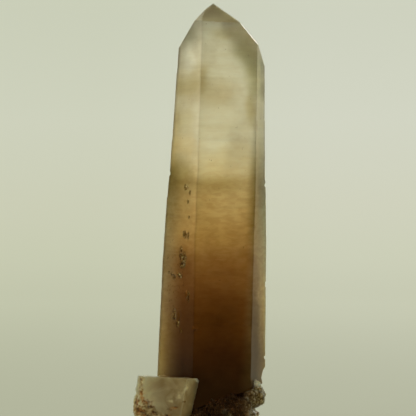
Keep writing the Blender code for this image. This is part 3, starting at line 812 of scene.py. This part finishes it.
druseValues = {
    "fineness": 0.32 * mm,
    "smoothing": 1,
    "sink": 0.12 * mm,  # the crust lies this much inside the solid, so that the grown points reach its skin
    "lumpSize": 1.4 * mm,
    "lumpDepth": 0.18 * mm,
    "pointWidth": 0.40 * mm,  # one small crystal at scale 1, and how long its tip is for its half width
    "pointLength": 0.36 * mm,
    "pointSides": 6,
    "pointRaised": 0.15,  # share of its length that its middle stands over its foot's place
    "pointTip": 1.1,
    "pointScale": (0.5, 1.1),
    "pointGap": 0.31 * mm,
    "pointsPerSquareMetre": 12.0e6,
    "lean": 0.55,  # radians, how far a crystal leans off the surface
    "lowest": 0.9 * mm,  # none grow below this
    "seed": 5,
    "knob": (5.5 * mm, 7.5 * mm),  # the knob on the right begins and is full at these places across
    "knobScale": 0.4,  # size of its points against the others
    "knobHeights": (3.6 * mm, 9.4 * mm),  # it is rounded between these heights
    "knobRounding": 14,
    "knobSmooth": 0.6,  # share of the lumps that it lacks
    "knobPush": 0.4 * mm,  # outwards, for what the rounding takes away
    "knobFilled": ((11.0, 7.0), (10.4, 5.9)),  # across and height of a hollow in its side, which is filled
    "knobFillWidth": 1.4 * mm,
    "knobFill": 0.5 * mm,
}


def makeSeedCrystal(values):  # one small quartz point, its foot below the origin
    radius, length = values["pointWidth"] / 2, values["pointLength"]
    bpy.ops.object.select_all(action="DESELECT")
    bpy.ops.mesh.primitive_cylinder_add(vertices=values["pointSides"], radius=radius, depth=length,
                                        location=(0, 0, values["pointRaised"] * length))
    crystal = bpy.context.object
    bpy.ops.object.transform_apply(location=True)
    top = max(vertex.co.z for vertex in crystal.data.vertices)
    for face in crystal.data.polygons:  # the top face alone
        face.select = face.center.z > 0.99 * top
    bpy.ops.object.mode_set(mode="EDIT")
    bpy.ops.mesh.select_mode(type="FACE")
    bpy.ops.mesh.extrude_region_move(TRANSFORM_OT_translate={"value": (0, 0, values["pointTip"] * radius)})
    bpy.ops.mesh.merge(type="CENTER")
    bpy.ops.object.mode_set(mode="OBJECT")
    return crystal


def growCrystals(piece, seedCrystal, values):  # small points all over, with Geometry Nodes, then made real
    tree = bpy.data.node_groups.new("druse growth", "GeometryNodeTree")
    tree.interface.new_socket("Geometry", in_out="INPUT", socket_type="NodeSocketGeometry")
    tree.interface.new_socket("Geometry", in_out="OUTPUT", socket_type="NodeSocketGeometry")
    crust = addNode(tree, "NodeGroupInput")
    where = addNode(tree, "ShaderNodeSeparateXYZ", {}, {"Vector": addNode(tree, "GeometryNodeInputPosition")})
    high = addNode(tree, "FunctionNodeCompare", {"operation": "GREATER_THAN"}, {
        "A": where.outputs["Z"], "B": values["lowest"]})
    points = addNode(tree, "GeometryNodeDistributePointsOnFaces", {"distribute_method": "POISSON"}, {
        "Mesh": crust, "Selection": high, "Distance Min": values["pointGap"],
        "Density Max": values["pointsPerSquareMetre"], "Seed": values["seed"]})
    lean = values["lean"]
    leans = addNode(tree, "FunctionNodeRandomValue", {"data_type": "FLOAT_VECTOR"}, {
        "Min": (-lean, -lean, -math.pi), "Max": (lean, lean, math.pi), "Seed": values["seed"] + 1})
    leaning = addNode(tree, "FunctionNodeEulerToRotation", {}, {"Euler": leans})
    turned = addNode(tree, "FunctionNodeRotateRotation", {"rotation_space": "LOCAL"}, {
        "Rotation": points.outputs["Rotation"], "Rotate By": leaning})
    random = addNode(tree, "FunctionNodeRandomValue", {"data_type": "FLOAT"}, {
        **dict(zip(("Min", "Max"), values["pointScale"])), "Seed": values["seed"] + 2})
    finer = addNode(tree, "ShaderNodeMapRange", {}, {
        "Value": where.outputs["X"], **ends("From", values["knob"]),
        **ends("To", (1.0, values["knobScale"]))})
    sizes = addNode(tree, "ShaderNodeMath", multiply, {0: random, 1: finer})
    crystal = addNode(tree, "GeometryNodeObjectInfo", {}, {"Object": seedCrystal})
    grown = addNode(tree, "GeometryNodeInstanceOnPoints", {}, {
        "Points": points.outputs["Points"], "Instance": crystal.outputs["Geometry"],
        "Rotation": turned, "Scale": sizes})
    real = addNode(tree, "GeometryNodeRealizeInstances", {}, {"Geometry": grown})
    facets = addNode(tree, "GeometryNodeSetShadeSmooth", {}, {"Geometry": real, "Shade Smooth": False})
    joined = addNode(tree, "GeometryNodeJoinGeometry")
    tree.links.new(facets.outputs["Geometry"], joined.inputs["Geometry"])
    tree.links.new(crust.outputs["Geometry"], joined.inputs["Geometry"])
    addNode(tree, "NodeGroupOutput", {}, {"Geometry": joined})
    only(piece)
    growth = piece.modifiers.new("druse growth", "NODES")
    growth.node_group = tree
    bpy.ops.object.modifier_apply(modifier=growth.name)
    bpy.data.objects.remove(seedCrystal)


def roundKnob(piece, knob, values):  # smooths the crust where the knob is
    group = piece.vertex_groups.new(name="knob")
    for index in np.flatnonzero(knob):
        group.add([int(index)], knob[index], "REPLACE")
    rounding = piece.modifiers.new("rounded knob", "SMOOTH")
    rounding.vertex_group = group.name
    rounding.iterations = values["knobRounding"]
    bpy.ops.object.modifier_apply(modifier=rounding.name)
    piece.vertex_groups.clear()


def makeDruse(values):
    piece = copyOfNode("drusy_foot", "drusyFoot")
    evenMesh(piece, values["fineness"], values["smoothing"])
    across, height = meshArrays(piece)[0][:, [0, 2]].T
    knobFrom, knobTo = values["knob"]
    foot, top = values["knobHeights"]
    knob = np.clip((across - knobFrom) / (knobTo - knobFrom), 0, 1) * (height > foot) * (height < top)
    roundKnob(piece, knob, values)
    places, normals = meshArrays(piece)
    lumps = noiseAt(places, values["lumpSize"])
    filled = strokeAt(places, values["knobFilled"], values["knobFillWidth"])
    inwards = values["sink"] + values["lumpDepth"] * lumps * (1 - values["knobSmooth"] * knob)
    inwards -= knob * (values["knobPush"] + values["knobFill"] * filled)
    inwards *= np.clip(places[:, 2] / values["lowest"], 0, 1)  # the sawn foot stays flat
    places -= normals * inwards[:, None]
    writeMesh(piece, places)
    growCrystals(piece, makeSeedCrystal(values), values)
    piece.data.materials.clear()
    return piece


ironValues = {
    # settings of the noises, with their scales from their sizes
    "patches": {"Scale": 1 / (5 * mm), "Detail": 4.0},
    "grains": {"Scale": 1 / (0.5 * mm), "Detail": 2.0},
    "crust": [(0.3, "#240f07"), (0.45, "#40220f"), (0.6, "#54321a"), (0.75, "#7c5c38")],
    "points": [(0.32, "#403218"), (0.48, "#8c7446"), (0.62, "#d8c694"), (0.72, "#fffaea")],
    "bareRange": (0.58, 0.7),  # bare patches begin and are full at these values, and this pale at most
    "bareShare": 0.5,
    "knob": (6.5 * mm, 10.5 * mm),  # the crust turns pale between these places across: the knob's paler points, partly painted light as it stands against the light
    "cap": "#fff4d8",  # painted light: the knob is pale on its top, from these heights up
    "capFrom": (9.3 * mm, 9.8 * mm),
    "clear": (0.05, 0.5),  # transmission of the crust and of the pale points
    "gloss": 0.3,
    "sheen": "#b88c58",
    "milkDepth": 2 * mm,
    "milkShares": (1.0, 0.8, 0.5),
}


def ironStainedDruse(values):  # drusy quartz over an iron-stained crust: dark, with facets that glint, and a knob paled partly by painted light
    material = newMaterial("iron-stained drusy quartz")
    tree = material.node_tree
    place = addNode(tree, "ShaderNodeTexCoord").outputs["Object"]
    axes = addNode(tree, "ShaderNodeSeparateXYZ", {}, {"Vector": place})
    patches, grains = [addNode(tree, "ShaderNodeTexNoise", {}, {"Vector": place, **values[name]})
                       for name in ("patches", "grains")]
    crust, points = [addNode(tree, "ShaderNodeValToRGB", {"stops": values[name]}, {"Fac": grains})
                     for name in ("crust", "points")]
    rightwards = addNode(tree, "ShaderNodeMapRange", {}, {
        "Value": axes.outputs["X"], **ends("From", values["knob"])})
    bare = addNode(tree, "ShaderNodeMapRange", {}, {
        "Value": patches, **ends("From", values["bareRange"]), "To Max": values["bareShare"]})
    paleShare = addNode(tree, "ShaderNodeMath", larger, {0: rightwards, 1: bare})
    mottled = addNode(tree, "ShaderNodeMix", mixColours, {"Factor": paleShare, "A": crust, "B": points})
    upwards = addNode(tree, "ShaderNodeMapRange", {}, {
        "Value": axes.outputs["Z"], **ends("From", values["capFrom"])})
    # painted light on the knob's top
    cap = addNode(tree, "ShaderNodeMath", multiply, {0: upwards, 1: rightwards})
    tone = addNode(tree, "ShaderNodeMix", mixColours, {
        "Factor": cap, "A": mottled, "B": linear(values["cap"])})
    clear = addNode(tree, "ShaderNodeMapRange", {}, {"Value": paleShare, **ends("To", values["clear"])})
    surface = addNode(tree, "ShaderNodeBsdfPrincipled", {}, {
        "Base Color": tone, "Roughness": values["gloss"], "IOR": quartzIor, "Transmission Weight": clear,
        "Specular Tint": linear(values["sheen"]), "Subsurface Weight": 1.0,
        "Subsurface Radius": values["milkShares"], "Subsurface Scale": values["milkDepth"]})
    addNode(tree, "ShaderNodeOutputMaterial", {}, {"Surface": surface})
    return material


druse = makeDruse(druseValues)
druse.data.materials.append(ironStainedDruse(ironValues))
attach(druse, "root")
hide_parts("drusy_foot")
print("druse:", len(druse.data.polygons), "faces")
